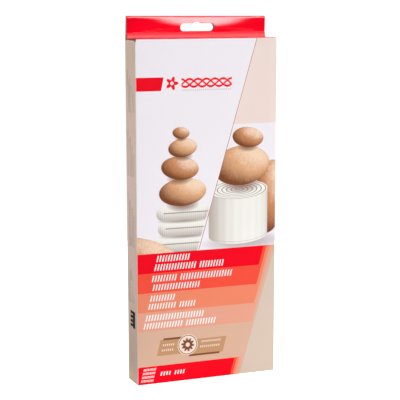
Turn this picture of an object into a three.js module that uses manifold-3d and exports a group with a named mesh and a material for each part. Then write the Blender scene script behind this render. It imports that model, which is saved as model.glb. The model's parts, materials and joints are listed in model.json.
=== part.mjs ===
// Hang-tab folding carton, a flat upright box for a rolled elastic belt.
// Units are millimetres. X runs to the right, the front panel faces -Y and +Z is up.
// The origin is the middle of the footprint, on the surface that the carton stands on.

import * as THREE from "three";
import { mergeVertices } from "three/addons/utils/BufferGeometryUtils.js";
import Module from "manifold-3d";

const wasm = await Module();
wasm.setup();

// Driving dimensions of the board and the body
const WIDTH = 130; // across the front panel
const HEIGHT = 298; // foot to top edge of the front panel
const DEPTH = 26; // front face to back face
const BOARD = 0.5; // thickness of the folding boxboard
const CREASE_RADIUS = 0.8; // outside radius of the four upright creases
const GAP = 0.3; // free space between pieces of board that lie on each other
const GLUE_FLAP_WIDTH = 12; // seam strip glued inside the back panel
const GLUE_FLAP_INSET = 6; // how far the seam strip stops short of both ends
const GLUE_FLAP_TAPER = 3; // slanted ends of the seam strip

// Driving dimensions of the hang tab
const TAB_HEIGHT = 18.5; // above the top edge of the front panel
const TAB_SIDE_INSET = 0.6; // tab narrower than the back panel, each side
const TAB_LEAN = 4; // degrees that the tab leans forward
const TAB_LEAN_RADIUS = 1.5; // bend over the back panel's top edge
const TAB_ROOT = 0.4; // upright stretch on the back panel's top edge
const TAB_LAYER_GAP = 0.8; // free space between the tab's two layers
const FOOT_REACH = 3; // lid crease in front of the back face
const FOOT_FLARE = 22; // degrees that the front layer turns forward at its foot
const FOOT_RADIUS = 4; // bend of that flare
const FOOT_CLEARANCE = 0.5; // between the foot's end and the lid's round edge

// Driving dimensions of the hang slot
const SLOT_WIDTH = 32;
const SLOT_HEIGHT = 6.7;
const SLOT_RISE = 5.7; // lower edge above the front panel's top edge
const SLOT_HUMP_WIDTH = 9;
const SLOT_HUMP_HEIGHT = 1.3;

// Driving dimensions of the closures
const LID_SIDE_INSET = 0.4; // lid narrower than the carton, each side
const LID_EDGE_CLEARANCE = 0.45; // between the lid's and the tuck flap's round edges
const TUCK_CLEARANCE = 0.5; // between the tuck flap and the front panel
const TUCK_LENGTH = 12; // below the lid's front crease
const TUCK_SIDE_INSET = 3; // tuck flap narrower than the carton, each side
const TUCK_CORNER = 5; // radius of its two free corners
const DUST_LENGTH = 30; // reach of a dust flap from its crease
const DUST_FRONT_SPACE = 3.2; // front face of the carton to a dust flap
const DUST_BACK_SPACE = 1.4; // back face of the carton to a dust flap
const DUST_TAPER = 2.5; // both long edges run in by this much
const DUST_CORNER = 4; // radius of its two free corners

const ROUND_STEP = 15; // degrees in one flat of a rounded edge

// Places that follow from the sizes
const HALF_BOARD = BOARD / 2;
const HALF_WIDTH = WIDTH / 2;
const HALF_DEPTH = DEPTH / 2;
const LID_HINGE_Y = HALF_DEPTH - FOOT_REACH;
const LID_Z = HEIGHT - HALF_BOARD; // middle of the lid's thickness
const TUCK_HINGE_Y = -(HALF_DEPTH - BOARD - TUCK_CLEARANCE - HALF_BOARD);
const DUST_TOP = HEIGHT - BOARD - GAP; // face of a dust flap that looks up at the lid
const DUST_Z = DUST_TOP - HALF_BOARD;
const DUST_HINGE_X = HALF_WIDTH - BOARD - GAP - HALF_BOARD;

// Printed and plain board
const printedBoard = new THREE.MeshStandardMaterial({ color: 0xeeecf0, roughness: 0.5, metalness: 0 });
const redBoard = new THREE.MeshStandardMaterial({ color: 0xeb1c26, roughness: 0.35, metalness: 0 });
const plainBoard = new THREE.MeshStandardMaterial({ color: 0xd9d4cb, roughness: 0.9, metalness: 0 });

// A closed geometry as a solid that can be joined and cut.
function solidOf(geometry) {
  const bare = geometry.clone();
  bare.deleteAttribute("normal");
  bare.deleteAttribute("uv");
  const merged = mergeVertices(bare, 1e-4);
  return new wasm.Manifold(
    new wasm.Mesh({
      numProp: 3,
      vertProperties: merged.getAttribute("position").array,
      triVerts: new Uint32Array(merged.getIndex().array),
    }),
  );
}

// A solid as a geometry that a mesh can show.
function geometryOf(solid) {
  const mesh = solid.getMesh();
  const geometry = new THREE.BufferGeometry();
  geometry.setAttribute("position", new THREE.BufferAttribute(mesh.vertProperties, mesh.numProp));
  geometry.setIndex(new THREE.BufferAttribute(mesh.triVerts, 1));
  geometry.computeVertexNormals();
  return geometry;
}

function extruded(shape, length) {
  return new THREE.ExtrudeGeometry(shape, { depth: length, bevelEnabled: false, curveSegments: 8 });
}

// A shape drawn in (y, z), as a solid that runs along X from -width / 2 to width / 2.
function alongX(shape, width) {
  const turn = new THREE.Matrix4().makeBasis(
    new THREE.Vector3(0, 1, 0),
    new THREE.Vector3(0, 0, 1),
    new THREE.Vector3(1, 0, 0),
  );
  return solidOf(extruded(shape, width).applyMatrix4(turn).translate(-width / 2, 0, 0));
}

// A shape drawn in (x, z), as a solid that runs along Y from backY to frontY.
function alongY(shape, frontY, backY) {
  const turn = new THREE.Matrix4().makeBasis(
    new THREE.Vector3(1, 0, 0),
    new THREE.Vector3(0, 0, 1),
    new THREE.Vector3(0, -1, 0),
  );
  return solidOf(extruded(shape, backY - frontY).applyMatrix4(turn).translate(0, backY, 0));
}

// A shape drawn in (x, y), as a solid from lowZ to highZ.
function alongZ(shape, lowZ, highZ) {
  return solidOf(extruded(shape, highZ - lowZ).translate(0, 0, lowZ));
}

function block([x0, y0, z0], [x1, y1, z1]) {
  const box = new THREE.BoxGeometry(x1 - x0, y1 - y0, z1 - z0);
  return solidOf(box.translate((x0 + x1) / 2, (y0 + y1) / 2, (z0 + z1) / 2));
}

function roundedRectangle(path, x0, y0, x1, y1, radius) {
  path.moveTo(x0 + radius, y0);
  path.absarc(x1 - radius, y0 + radius, radius, -Math.PI / 2, 0, false);
  path.absarc(x1 - radius, y1 - radius, radius, 0, Math.PI / 2, false);
  path.absarc(x0 + radius, y1 - radius, radius, Math.PI / 2, Math.PI, false);
  path.absarc(x0 + radius, y0 + radius, radius, Math.PI, Math.PI * 1.5, false);
  return path;
}

// The section of a board that lies along +first axis from a round edge at the origin.
// A round far edge has its centre at length.
function boardSection(length, roundFarEdge) {
  const shape = new THREE.Shape();
  shape.absarc(0, 0, HALF_BOARD, Math.PI / 2, Math.PI * 1.5, false);
  if (roundFarEdge) {
    shape.absarc(length, 0, HALF_BOARD, -Math.PI / 2, Math.PI / 2, false);
  } else {
    shape.lineTo(length, -HALF_BOARD);
    shape.lineTo(length, HALF_BOARD);
  }
  return shape;
}

function named(name, geometry, material, x = 0, y = 0, z = 0) {
  const mesh = new THREE.Mesh(geometry, material);
  mesh.name = name;
  mesh.position.set(x, y, z);
  return mesh;
}

// Sleeve: front, right, back and left panels and the seam strip, one wrapped sheet.
// The side panels end under the lid, and the front and back panels rise to full height.
function sleeve() {
  const section = roundedRectangle(
    new THREE.Shape(), -HALF_WIDTH, -HALF_DEPTH, HALF_WIDTH, HALF_DEPTH, CREASE_RADIUS,
  );
  const inside = roundedRectangle(
    new THREE.Path(), -HALF_WIDTH + BOARD, -HALF_DEPTH + BOARD, HALF_WIDTH - BOARD, HALF_DEPTH - BOARD,
    CREASE_RADIUS - BOARD,
  );
  section.holes.push(inside);
  const seam = new THREE.Shape();
  const seamRoot = HALF_WIDTH - HALF_BOARD;
  const seamEdge = HALF_WIDTH - BOARD - GLUE_FLAP_WIDTH;
  seam.moveTo(seamRoot, GLUE_FLAP_INSET);
  seam.lineTo(seamRoot, HEIGHT - GLUE_FLAP_INSET);
  seam.lineTo(seamEdge, HEIGHT - GLUE_FLAP_INSET - GLUE_FLAP_TAPER);
  seam.lineTo(seamEdge, GLUE_FLAP_INSET + GLUE_FLAP_TAPER);
  let body = alongZ(section, 0, HEIGHT).add(
    alongY(seam, HALF_DEPTH - 2 * BOARD, HALF_DEPTH - HALF_BOARD),
  );
  for (const side of [-1, 1]) {
    const inner = side * (HALF_WIDTH - CREASE_RADIUS);
    const outer = side * (HALF_WIDTH + BOARD);
    body = body.subtract(
      block(
        [Math.min(inner, outer), -HALF_DEPTH + BOARD, DUST_TOP],
        [Math.max(inner, outer), HALF_DEPTH - BOARD, HEIGHT + BOARD],
      ),
    );
  }
  return named("sleeve", geometryOf(body), printedBoard);
}

// The middle line of a bent board in (y, z): straight stretches and bends, left turns positive.
class BentLine {
  constructor(y, z, heading) {
    this.at = new THREE.Vector2(y, z);
    this.heading = THREE.MathUtils.degToRad(heading);
    this.points = [];
    this.mark();
  }

  direction() {
    return new THREE.Vector2(Math.cos(this.heading), Math.sin(this.heading));
  }

  mark() {
    const side = this.direction().rotateAround(new THREE.Vector2(), Math.PI / 2);
    this.points.push({ place: this.at.clone(), side });
  }

  straight(length) {
    this.at.addScaledVector(this.direction(), length);
    this.mark();
    return this;
  }

  bend(degrees, radius) {
    const turn = THREE.MathUtils.degToRad(degrees);
    const steps = Math.ceil(Math.abs(degrees) / ROUND_STEP);
    const reach = radius * Math.sign(turn);
    const sideways = this.direction().rotateAround(new THREE.Vector2(), Math.PI / 2);
    const centre = this.at.clone().addScaledVector(sideways, reach);
    for (let step = 0; step < steps; step += 1) {
      this.at.rotateAround(centre, turn / steps);
      this.heading += turn / steps;
      this.mark();
    }
    return this;
  }

  // How far a bend from this heading carries the line.
  reachOfBend(degrees, radius) {
    const trial = new BentLine(0, 0, THREE.MathUtils.radToDeg(this.heading));
    return trial.bend(degrees, radius);
  }

  // The board's section: the middle line with half the board on either side.
  section() {
    const left = this.points.map(({ place, side }) => place.clone().addScaledVector(side, HALF_BOARD));
    const right = this.points.map(({ place, side }) => place.clone().addScaledVector(side, -HALF_BOARD));
    return new THREE.Shape([...right, ...left.reverse()]);
  }
}

// Lengths along two directions that add up to a wanted step.
function stretchesFor(step, first, second) {
  const area = first.cross(second);
  return [step.cross(second) / area, first.cross(step) / area];
}

function slotShape() {
  const radius = SLOT_HEIGHT / 2;
  const middle = HEIGHT + SLOT_RISE + radius;
  const top = HEIGHT + SLOT_RISE + SLOT_HEIGHT;
  const straightEnd = SLOT_WIDTH / 2 - radius;
  const halfHump = SLOT_HUMP_WIDTH / 2;
  const humpRadius = (halfHump ** 2 + SLOT_HUMP_HEIGHT ** 2) / (2 * SLOT_HUMP_HEIGHT);
  const humpCentre = top + SLOT_HUMP_HEIGHT - humpRadius;
  const humpAngle = Math.asin(halfHump / humpRadius);
  const shape = new THREE.Shape();
  shape.absarc(straightEnd, middle, radius, -Math.PI / 2, Math.PI / 2, false);
  shape.absarc(0, humpCentre, humpRadius, Math.PI / 2 - humpAngle, Math.PI / 2 + humpAngle, false);
  shape.absarc(-straightEnd, middle, radius, Math.PI / 2, Math.PI * 1.5, false);
  return shape;
}

// Hang tab: the back panel's sheet goes on upwards, folds over at the top and comes down again
// in front, where its foot flares forward to the lid's crease. The slot goes through both layers.
function hangTab() {
  const foldRadius = (TAB_LAYER_GAP + BOARD) / 2;
  const lean = THREE.MathUtils.degToRad(TAB_LEAN);
  const line = new BentLine(HALF_DEPTH - HALF_BOARD, HEIGHT, 90);
  line.straight(TAB_ROOT).bend(TAB_LEAN, TAB_LEAN_RADIUS);
  const foldStart = HEIGHT + TAB_HEIGHT - HALF_BOARD - foldRadius * (1 - Math.sin(lean));
  line.straight((foldStart - line.at.y) / Math.cos(lean)).bend(180, foldRadius);

  const down = line.direction();
  const flare = line.reachOfBend(-FOOT_FLARE, FOOT_RADIUS);
  const forward = flare.direction();
  const footEnd = new THREE.Vector2(LID_HINGE_Y, LID_Z).addScaledVector(
    forward, -(HALF_BOARD + FOOT_CLEARANCE),
  );
  const step = footEnd.sub(line.at).sub(flare.at);
  const [straightDown, straightForward] = stretchesFor(step, down, forward);
  line.straight(straightDown).bend(-FOOT_FLARE, FOOT_RADIUS).straight(straightForward);

  const tab = alongX(line.section(), WIDTH - 2 * TAB_SIDE_INSET);
  return named("hang_tab", geometryOf(tab.subtract(alongY(slotShape(), -HALF_DEPTH, DEPTH))), redBoard);
}

// Lid: from its crease at the tab's foot to the crease of the tuck flap, both edges rounded.
function lid() {
  const length = LID_HINGE_Y - TUCK_HINGE_Y - 2 * HALF_BOARD - LID_EDGE_CLEARANCE;
  const section = boardSection(length, true);
  const board = alongX(section, WIDTH - 2 * LID_SIDE_INSET).rotate([0, 0, 180]);
  return named("lid", geometryOf(board), redBoard, 0, LID_HINGE_Y, LID_Z);
}

// Tuck flap: hangs from the lid's front crease behind the front panel, free corners rounded.
function tuckFlap() {
  const halfWidth = HALF_WIDTH - TUCK_SIDE_INSET;
  const outline = new THREE.Shape();
  outline.moveTo(halfWidth, BOARD);
  outline.lineTo(-halfWidth, BOARD);
  outline.absarc(-halfWidth + TUCK_CORNER, -TUCK_LENGTH + TUCK_CORNER, TUCK_CORNER, Math.PI, Math.PI * 1.5, false);
  outline.absarc(halfWidth - TUCK_CORNER, -TUCK_LENGTH + TUCK_CORNER, TUCK_CORNER, -Math.PI / 2, 0, false);
  const board = alongX(boardSection(TUCK_LENGTH, false), 2 * halfWidth).rotate([-90, 0, 0]);
  const cut = board.intersect(alongY(outline, -BOARD, BOARD));
  return named("tuck_flap", geometryOf(cut), redBoard, 0, TUCK_HINGE_Y, LID_Z);
}

// Outline of a dust flap in (x, y), from its crease at x = 0 towards +x.
function dustOutline(length, front, back) {
  const shape = new THREE.Shape();
  shape.moveTo(-BOARD, back);
  shape.lineTo(-BOARD, front);
  shape.absarc(length - DUST_CORNER, front + DUST_TAPER + DUST_CORNER, DUST_CORNER, -Math.PI / 2, 0, false);
  shape.absarc(length - DUST_CORNER, back - DUST_TAPER - DUST_CORNER, DUST_CORNER, 0, Math.PI / 2, false);
  return shape;
}

// Dust flap: folded in from a side panel's top edge, under the lid. Side is -1 left, 1 right.
function dustFlap(name, side, z) {
  const front = -HALF_DEPTH + DUST_FRONT_SPACE;
  const back = HALF_DEPTH - DUST_BACK_SPACE;
  const board = alongY(boardSection(DUST_LENGTH, false), -HALF_DEPTH, HALF_DEPTH);
  const cut = board.intersect(alongZ(dustOutline(DUST_LENGTH, front, back), -BOARD, BOARD));
  const placed = side < 0 ? cut : cut.mirror([1, 0, 0]);
  return named(name, geometryOf(placed), plainBoard, side * DUST_HINGE_X, 0, z);
}

// Bottom panel: closes the foot of the sleeve between its four walls.
function bottomPanel() {
  const halfWidth = HALF_WIDTH - BOARD - GAP;
  const halfDepth = HALF_DEPTH - BOARD - GAP;
  const outline = roundedRectangle(new THREE.Shape(), -halfWidth, -halfDepth, halfWidth, halfDepth, CREASE_RADIUS);
  return named("bottom_panel", geometryOf(alongZ(outline, 0, BOARD)), printedBoard);
}

const carton = new THREE.Group();
const bottomDustZ = BOARD + GAP + HALF_BOARD;
carton.add(
  sleeve(),
  hangTab(),
  lid(),
  tuckFlap(),
  dustFlap("left_dust_flap", -1, DUST_Z),
  dustFlap("right_dust_flap", 1, DUST_Z),
  bottomPanel(),
  dustFlap("bottom_left_dust_flap", -1, bottomDustZ),
  dustFlap("bottom_right_dust_flap", 1, bottomDustZ),
);

export default carton;
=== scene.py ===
# %% [markdown]
# # Hang-tab folding carton
# The real carton is one die-cut sheet of coated boxboard. It is printed on one face,
# creased, folded into a sleeve and glued at one seam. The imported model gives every
# panel its place and its hinge. This script gives each panel its bends, its raw edges,
# its print and its light, and moves none of them by more than two millimetres.

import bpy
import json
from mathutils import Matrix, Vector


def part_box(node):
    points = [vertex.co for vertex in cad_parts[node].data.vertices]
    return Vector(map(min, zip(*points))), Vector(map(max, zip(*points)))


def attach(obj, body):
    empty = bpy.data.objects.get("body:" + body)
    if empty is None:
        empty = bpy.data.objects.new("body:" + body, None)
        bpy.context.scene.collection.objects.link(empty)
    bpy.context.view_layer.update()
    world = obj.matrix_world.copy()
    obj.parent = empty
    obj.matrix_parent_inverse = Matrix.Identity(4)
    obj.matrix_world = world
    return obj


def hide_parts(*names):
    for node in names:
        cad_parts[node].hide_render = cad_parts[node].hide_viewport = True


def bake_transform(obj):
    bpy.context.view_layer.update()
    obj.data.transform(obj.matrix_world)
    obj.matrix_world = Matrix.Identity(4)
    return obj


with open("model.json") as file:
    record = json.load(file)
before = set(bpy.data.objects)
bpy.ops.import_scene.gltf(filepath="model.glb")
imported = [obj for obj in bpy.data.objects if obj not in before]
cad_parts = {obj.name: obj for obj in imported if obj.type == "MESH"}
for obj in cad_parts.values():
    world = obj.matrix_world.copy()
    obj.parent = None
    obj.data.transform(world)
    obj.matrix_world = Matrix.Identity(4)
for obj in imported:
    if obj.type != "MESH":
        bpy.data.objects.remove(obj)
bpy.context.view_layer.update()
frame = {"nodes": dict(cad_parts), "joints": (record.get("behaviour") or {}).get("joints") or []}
print("packed nodes:", ", ".join(sorted(frame["nodes"])))

# %% [markdown]
# ## Sizes
# Blender counts in metres, and board is easier to think about in millimetres, so the
# script keeps millimetres and turns them into metres when it makes a mesh. The panels'
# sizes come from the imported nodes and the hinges. The creases, the slot and the print
# have numbers of their own.

# %% Sizes in millimetres
import cmath
import functools
import json
import math

import bpy
import numpy as np
from mathutils import Vector

MM = 0.001


def box_mm(node):
    """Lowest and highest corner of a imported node."""
    return [np.array(corner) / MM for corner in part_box(node)]


def hinge_mm(name):
    """A point on a hinge's axis."""
    return np.array(next(j for j in frame["joints"] if j["name"] == name)["pos_m"]) / MM


SLEEVE_LOW, SLEEVE_HIGH = box_mm("sleeve")
TAB_LOW, TAB_HIGH = box_mm("hang_tab")
LID_LOW, LID_HIGH = box_mm("lid")
TUCK_LOW, TUCK_HIGH = box_mm("tuck_flap")
DUST_LOW, DUST_HIGH = box_mm("left_dust_flap")
FLOOR_LOW, FLOOR_HIGH = box_mm("bottom_panel")
LID_HINGE = hinge_mm("lid_hinge")
DUST_HINGE = hinge_mm("left_dust_hinge")

BOARD = FLOOR_HIGH[2] - FLOOR_LOW[2]
HALF_WIDTH = SLEEVE_HIGH[0]
FRONT_Y, BACK_Y = SLEEVE_LOW[1], SLEEVE_HIGH[1]
TOP = SLEEVE_HIGH[2]
print(f"board {BOARD:.2f} mm, body {2 * HALF_WIDTH:.0f} x {BACK_Y - FRONT_Y:.0f} x {TOP:.0f} mm")

# %% [markdown]
# ## Camera
# The carton is seen from the left and from a little above. A long lens keeps its
# upright edges almost parallel. The camera looks at a point inside the carton, so its
# turn and its rise are the only two angles that have to be known.

# %% Camera
CAMERA_TURN = -21.95  # degrees round the carton, from straight in front
CAMERA_RISE = 8.9
CAMERA_LENS = 116.96
CAMERA_DISTANCE = 1137.2
CAMERA_TARGET = Vector((-1.775, 0, 157.37))


def add_camera():
    turn, rise = math.radians(CAMERA_TURN), math.radians(CAMERA_RISE)
    back = Vector((math.sin(turn) * math.cos(rise), -math.cos(turn) * math.cos(rise), math.sin(rise)))
    camera = bpy.data.objects.new("studio_camera", bpy.data.cameras.new("studio_camera"))
    camera.data.lens = CAMERA_LENS
    camera.location = (CAMERA_TARGET + back * CAMERA_DISTANCE) * MM
    camera.rotation_mode = "QUATERNION"
    camera.rotation_quaternion = (-back).to_track_quat("-Z", "Y")
    bpy.context.scene.collection.objects.link(camera)
    bpy.context.scene.camera = camera
    return camera


camera = add_camera()
print("camera at", [round(c, 3) for c in camera.location])

# %% [markdown]
# ## Shader maths
# A print is a drawing made of masks: inside this band, left of that line. Written as
# nodes by hand, such a drawing is a thicket. A small class that wraps a socket lets
# Python's own operators add the Math nodes, so a mask reads like a formula.

# %% A socket that does maths
class Wire:
    """One socket of a material's nodes."""

    def __init__(self, tree, socket=None):
        self.tree = tree
        self.socket = socket

    def node(self, kind, settings=None, sockets=None, output=0):
        """Adds any node: first its settings, then the values or links of its sockets."""
        made = self.tree.nodes.new(kind)
        for name, value in (settings or {}).items():
            setattr(made, name, value)
        for key, value in (sockets or {}).items():
            if isinstance(value, Wire):
                self.tree.links.new(value.socket, made.inputs[key])
            else:
                made.inputs[key].default_value = value
        return Wire(self.tree, made.outputs[output] if made.outputs else None)

    def output(self, key):
        """Another output of the same node."""
        return Wire(self.tree, self.socket.node.outputs[key])

    def math(self, operation, *values):
        return self.node("ShaderNodeMath", {"operation": operation}, dict(enumerate(values)))

    def __add__(self, other):
        return self.math("ADD", self, other)

    def __radd__(self, other):
        return self.math("ADD", other, self)

    def __sub__(self, other):
        return self.math("SUBTRACT", self, other)

    def __rsub__(self, other):
        return self.math("SUBTRACT", other, self)

    def __mul__(self, other):
        return self.math("MULTIPLY", self, other)

    def __truediv__(self, other):
        return self.math("DIVIDE", self, other)

    def __gt__(self, other):
        return self.math("GREATER_THAN", self, other)

    def __lt__(self, other):
        return self.math("LESS_THAN", self, other)

    def __abs__(self):
        return self.math("ABSOLUTE", self)

    def part(self):
        """What is left above the whole number, for patterns that repeat."""
        return self.math("FRACT", self)

    def root(self):
        return self.math("SQRT", self)

    def sine(self):
        return self.math("SINE", self)

    def or_else(self, other):
        """The larger of two masks."""
        return self.math("MAXIMUM", self, other)

    def above_zero(self):
        return self.math("MAXIMUM", self, 0)

    def kept(self):
        """Cut off below 0 and above 1."""
        return self.node("ShaderNodeClamp", None, {0: self})

    def rise(self, low, high):
        """0 below low and 1 above high, with a smooth rise between."""
        limits = {"Value": self, "From Min": low, "From Max": high}
        return self.node("ShaderNodeMapRange", {"interpolation_type": "SMOOTHSTEP"}, limits)

    def ink(self, below, above):
        """The colour below where this mask is 0, and the colour above where it is 1."""
        return self.node("ShaderNodeMix", {"data_type": "RGBA"}, {0: self, 6: below, 7: above}, output=2)


def within(value, low, high):
    """A mask of the values between two limits."""
    return (value > low) * (value < high)


def screen(red, green, blue):
    """A colour given as it shows on a screen, from 0 to 255, as the light that it stands for."""
    shares = [c / 255 for c in (red, green, blue)]
    return (*[c / 12.92 if c <= 0.04045 else ((c + 0.055) / 1.055) ** 2.4 for c in shares], 1)


print("a mid grey on screen is", round(screen(128, 128, 128)[0], 3), "of full light")

# %% [markdown]
# ## Starting and ending a finish
# Every finish here starts from the same two things, the place on the piece and some
# fine noise, and ends in one Principled shader. Board is never quite flat: its fibres
# make a fine grain and its sheets a slow wave, and both show in the reflections. So
# the relief is two bumps on top of each other, one coarse and one fine.

# %% Finish helpers
def start_finish(name):
    """A new material and the piece's own place in millimetres: x, y and z."""
    material = bpy.data.materials.new(name)
    material.use_nodes = True
    material.node_tree.nodes.clear()
    place = Wire(material.node_tree).node("ShaderNodeTexCoord", output="Object")
    parts = place.node("ShaderNodeSeparateXYZ", None, {0: place})
    return material, place, [parts.output(axis) / MM for axis in "XYZ"]


WAVE_SIZE, FIBRE_SIZE = 24, 0.35  # width of the sheet's slow waves and of its fibres


def grain(place, size, detail=2.0):
    """Noise whose spots are about size millimetres wide, from 0 to 1."""
    sockets = {"Vector": place, "Scale": 1 / (size * MM), "Detail": detail}
    return place.node("ShaderNodeTexNoise", None, sockets)


def relief(place, fibre, wave):
    """A bumped normal from the board's fibres and its slow waves, heights in millimetres."""
    coarse = {"Height": grain(place, WAVE_SIZE, 1), "Strength": 1, "Distance": wave * MM}
    slow = place.node("ShaderNodeBump", None, coarse)
    fine = {"Height": grain(place, FIBRE_SIZE), "Strength": 1, "Distance": fibre * MM, "Normal": slow}
    return place.node("ShaderNodeBump", None, fine)


def end_finish(material, place, colour, roughness, normal, **settings):
    """The Principled shader and the output. Settings are the same all over the piece."""
    sockets = {"Base Color": colour, "Roughness": roughness, "Normal": normal}
    sockets.update({name.replace("_", " "): value for name, value in settings.items()})
    shader = place.node("ShaderNodeBsdfPrincipled", None, sockets)
    place.node("ShaderNodeOutputMaterial", None, {"Surface": shader})
    print(material.name, "has", len(material.node_tree.nodes), "nodes")
    return material


# %% [markdown]
# ## Bare board
# Inside the carton the board has no print. It is a warm grey white with short fibres
# of darker and lighter stock. Where it was cut, the raw edge shows the layers of the
# sheet, paler in the middle. The edge is only half a millimetre wide, so speckle
# across it says enough. The red board's edges carry some ink that the die drags over
# them, and they are also painted a dark red-brown as painted shade, for the shaded gaps beside the lid.

# %% Inside and cut edge
def inside_finish():
    material, place, _ = start_finish("board_inside")
    fibres = grain(place, 0.8, 4).rise(0.35, 0.7)
    clouds = grain(place, 14).rise(0.3, 0.7)
    colour = fibres.ink(screen(206, 200, 188), screen(222, 217, 207))
    colour = (clouds * 0.35).ink(colour, screen(198, 192, 181))
    return end_finish(material, place, colour, 0.75 + fibres * 0.15, relief(place, 0.02, 0.1),
                      Specular_IOR_Level=0.2)


def edge_finish(name, dark, pale):
    material, place, _ = start_finish(name)
    speckle = grain(place, 0.3, 3).rise(0.35, 0.65)
    colour = speckle.ink(dark, pale)
    return end_finish(material, place, colour, 0.85 + speckle * 0.1, relief(place, 0.03, 0.02),
                      Specular_IOR_Level=0.15)


board_inside = inside_finish()
cut_edge = edge_finish("board_cut_edge", screen(214, 205, 192), screen(240, 236, 228))
# Dark red cut edge: dragged red ink, and painted shade standing in for the shade in the gaps beside the
# lid.
red_cut_edge_and_shade = edge_finish("red_board_cut_edge_and_shade", screen(120, 30, 34), screen(196, 120, 112))

# %% [markdown]
# ## Red board
# The tab, the lid and the tuck flap are printed solid red and varnished. The varnish
# is a thin coat with its own gloss over duller ink, so this finish uses the shader's
# coat. The press has dulled the varnish just over the tab's foot, where the coat gets
# less weight. Where the board folds, the ink cracks and pale stock shows in specks.

# %% Red varnished board
RED = screen(252, 2, 40)
DEEP_RED = screen(238, 0, 30)
TURNS_DULL, TURNS_GLOSSY = (1.0, 4.4), (6.5, 9.0)  # heights over the lid, going up
DULL_COAT = 0.25  # what is left of the coat where it is dull
FOLD_WEAR = 0.7  # height of the worn strip at the top fold, and its width at the sides
BARE_STOCK = screen(246, 226, 220)


def red_finish():
    material, place, (x, y, z) = start_finish("red_varnished_board")
    mottle = grain(place, 9, 3).rise(0.3, 0.75)
    colour = (mottle * 0.35).ink(RED, DEEP_RED)
    top_fold = z.rise(TAB_HIGH[2] - FOLD_WEAR, TAB_HIGH[2] - 0.1)
    cracks = grain(place, 0.5, 3).rise(0.5, 0.7)
    ends = abs(x).rise(HALF_WIDTH - FOLD_WEAR, HALF_WIDTH)
    worn = (top_fold * cracks * 0.7).or_else(ends * cracks * 0.8)
    colour = worn.ink(colour, BARE_STOCK)
    height = z - TOP
    dull = height.rise(*TURNS_DULL) * (1 - height.rise(*TURNS_GLOSSY))
    coat = 1 - dull * (1 - DULL_COAT)
    return end_finish(material, place, colour, 0.5 + mottle * 0.06, relief(place, 0.003, 0.03),
                      Specular_IOR_Level=0.0, Coat_Weight=coat, Coat_Roughness=0.07)


red_board = red_finish()

# %% [markdown]
# ## The front panel's print: fields and stripes
# The front is laid out in millimetres from its upper left corner: u runs right and v
# runs down. Its ground is a cool white field and a beige one, parted by a slanted
# line. Below them lie nested stripes: each one reaches a little further right than the
# one above it and turns up beside it, and the first comes back at the foot. Painted
# from the outermost in, each is then a single mask.

# %% Fields and stripes
COOL_WHITE = screen(246, 241, 247)
WARM_BEIGE = screen(243, 225, 217)
LOW_BEIGE = screen(217, 198, 183)
LINE_ROSE = screen(178, 92, 96)
HALO = screen(252, 244, 246)
FIELD_END = 73.6  # lower edge of the plain fields
PICTURE_END = 182.6  # lower edge of the pictures
SLANT_START, SLANT_RATE = 111.0, 0.298  # the line's u at the top, and its step left per mm down
BAR_TOP, BAR_BOTTOM, BAR_LENGTH, BAR_SLANT = 32.0, 43.4, 25.0, 0.21
STRIPE_END, STRIPE_SLANT = 118.9, 0.279  # the first stripe's end, as the line's two values
REACH, REACH_TAPER = 2.85, 0.0043  # how much further each next one reaches, and less per mm down
STRIPES = [  # lower edge of each stripe and its ink
    (199.8, screen(247, 3, 32)),
    (217.0, screen(246, 82, 62)),
    (234.0, screen(240, 137, 104)),
    (250.9, screen(233, 164, 141)),
    (282.2, screen(219, 180, 156)),
]


def fields(u, v):
    """The two fields, and how far each point lies to the right of the slanted line."""
    beyond = u - (SLANT_START - v * SLANT_RATE)
    colour = ((beyond > 0) * (v < FIELD_END)).ink(COOL_WHITE, WARM_BEIGE)
    return colour, beyond


def slanted_line(colour, beyond, v):
    """A thin rose line on the slant with a pale halo on its left."""
    shown = v < PICTURE_END
    colour = (within(beyond, -1.6, 0) * shown * 0.7).ink(colour, HALO)
    return (within(beyond, -0.25, 0.35) * shown * 0.85).ink(colour, LINE_ROSE)


def side_bar(colour, u, v):
    """The short red bar that enters from the left edge and ends on a slant."""
    end = u + (v - BAR_TOP) * BAR_SLANT
    return (within(v, BAR_TOP, BAR_BOTTOM) * (end < BAR_LENGTH)).ink(colour, STRIPES[0][1])


def stripes(colour, u, v):
    """The nested stripes, from the outermost in."""
    down = v - PICTURE_END
    beyond = (u + down * STRIPE_SLANT - STRIPE_END) / (REACH - down * REACH_TAPER)
    low = down > 0
    foot = v > STRIPES[-1][0]
    colour = low.ink(colour, LOW_BEIGE)
    for place, (edge, ink) in reversed(list(enumerate(STRIPES))):
        colour = (low * (v < edge).or_else(foot) * (beyond < place)).ink(colour, ink)
    return colour


# %% [markdown]
# ## Rows of stitches
# Packs carry rows of fine white marks. Here they are rows of slanted stitches, like the
# seam of an elastic. One sawtooth makes all the stitches of a size. Each row is then a
# few groups, and a group starts and ends on a whole stitch, so none is cut in half.

# %% Stitch rows
STITCH_LEAN = 0.25  # sideways step per mm of height
STITCH_PITCH = 2.6
STITCH_SHARE = 0.46  # inked part of the pitch
STITCH_WHITE = screen(255, 250, 248)
STITCH_ROWS = [  # top and bottom in mm, first stitch, stitches in each group
    (184.6, 190.2, 25, (12,)), (192.2, 197.8, 25, (15, 9)),
    (201.8, 207.4, 25, (9, 19)), (209.7, 215.1, 26, (17,)),
    (219.2, 224.6, 26, (9,)), (226.4, 231.6, 26, (10, 6)),
    (236.2, 241.6, 26, (21,)), (243.4, 248.6, 26, (14, 11)),
    (287.9, 291.4, 36, (4, 4)),
]
FINE_TOPS = [283.9, 287.2, 290.5, 293.8]
FINE_HEIGHT, FINE_PITCH, FINE_SHARE = 2.0, 1.3, 0.62
FINE_FIRST, FINE_COUNT = 59, 9


def any_of(masks):
    """One mask for all of them together."""
    return functools.reduce(Wire.or_else, masks)


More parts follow.
